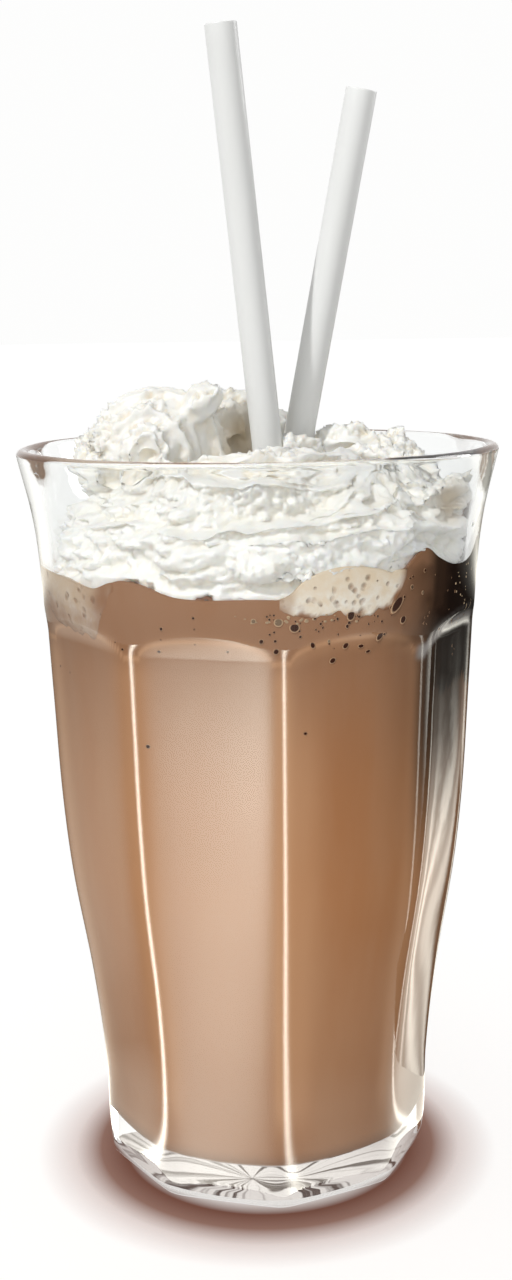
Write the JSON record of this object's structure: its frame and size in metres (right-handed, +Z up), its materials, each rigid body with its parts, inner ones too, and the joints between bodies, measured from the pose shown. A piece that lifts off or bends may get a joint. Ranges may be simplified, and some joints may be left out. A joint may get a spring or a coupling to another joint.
{
  "type": "milkshake",
  "caption": "Chocolate milkshake topped with whipped cream in a tall faceted tumbler, with drinking straws standing in it.",
  "frame": {"origin": "centre of the glass at the table, under its foot", "axes": "+Z up along the axis of the glass; -Y is the shown front; +X is to its right"},
  "size_m": [0.095, 0.095, 0.2244],
  "materials": {
    "clear_glass": "clear, fire polished",
    "milkshake": "smooth opaque liquid",
    "froth": "fine foam with open bubbles",
    "whipped_cream": "soft, faintly moist",
    "straw": "smooth, half matt"
  },
  "bodies": {
    "root": {"glass": "clear_glass", "milkshake": "milkshake", "froth": "froth", "whipped_cream": "whipped_cream", "straw_left": "straw", "straw_right": "straw"}
  },
  "joints": []
}
